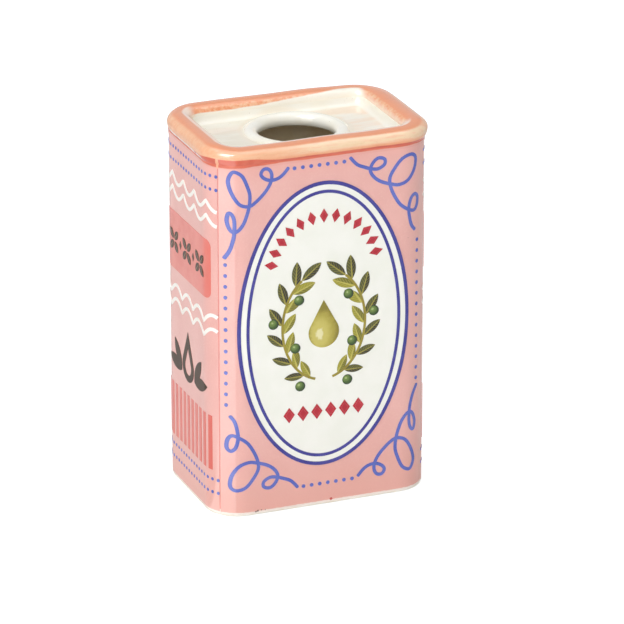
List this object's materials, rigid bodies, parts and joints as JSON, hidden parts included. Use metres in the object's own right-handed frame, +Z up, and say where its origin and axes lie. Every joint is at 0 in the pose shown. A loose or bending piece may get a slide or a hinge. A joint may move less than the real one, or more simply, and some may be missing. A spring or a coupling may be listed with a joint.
{
  "type": "olive oil tin in glazed ceramic",
  "caption": "Ceramic oil tin or vase: upright pink rectangular body, rolled terracotta rim, sunken cream deck with a low round mouth, printed oval medallion.",
  "frame": {"origin": "middle of the foot ring's tread on the table plane", "axes": "+Z up the body; the wide front wall with the medallion faces -Y; the narrow side walls face -X and +X"},
  "size_m": [0.1032, 0.0712, 0.1675],
  "materials": {
    "bare_clay": "matt, unglazed biscuit",
    "cream_glaze": "glossy cream glaze with faint peach tints",
    "pink_glaze": "glossy pale pink glaze, a little uneven",
    "terracotta_glaze": "glossy terracotta glaze that breaks cream on the edges",
    "line_glaze": "glossy red-orange glaze line",
    "white_enamel": "fired-on white transfer, glossy",
    "blue_enamel": "fired-on dark blue transfer",
    "soft_blue_enamel": "fired-on soft blue transfer",
    "red_enamel": "fired-on red transfer",
    "gold_enamel": "fired-on olive gold transfer",
    "green_enamel": "fired-on olive green transfer",
    "olive_enamel": "fired-on dark olive transfer",
    "coral_enamel": "fired-on coral transfer"
  },
  "bodies": {
    "root": {"foot_ring": "bare_clay", "base_floor": "cream_glaze", "body_wall": "pink_glaze", "top_deck": "cream_glaze", "mouth_collar": "cream_glaze", "rim_roll": "terracotta_glaze", "glaze_line": "line_glaze", "front_coat": "pink_glaze", "left_coat": "pink_glaze", "right_coat": "pink_glaze", "back_coat": "pink_glaze", "medallion_field": "white_enamel", "medallion_outer_ring": "blue_enamel", "medallion_inner_ring": "blue_enamel", "front_flourishes": "soft_blue_enamel", "front_dots": "soft_blue_enamel", "arched_lozenges": "red_enamel", "level_lozenges": "red_enamel", "wreath_stems": "gold_enamel", "wreath_outer_leaves": "olive_enamel", "wreath_inner_leaves": "gold_enamel", "wreath_berries": "green_enamel", "oil_drop": "gold_enamel", "left_dots": "soft_blue_enamel", "left_waves": "white_enamel", "left_panel": "coral_enamel", "left_rosettes": "olive_enamel", "left_sprig": "olive_enamel", "left_stripes": "coral_enamel", "right_dots": "soft_blue_enamel", "right_waves": "white_enamel", "right_panel": "coral_enamel", "right_rosettes": "olive_enamel", "right_sprig": "olive_enamel", "right_stripes": "coral_enamel"}
  },
  "joints": []
}
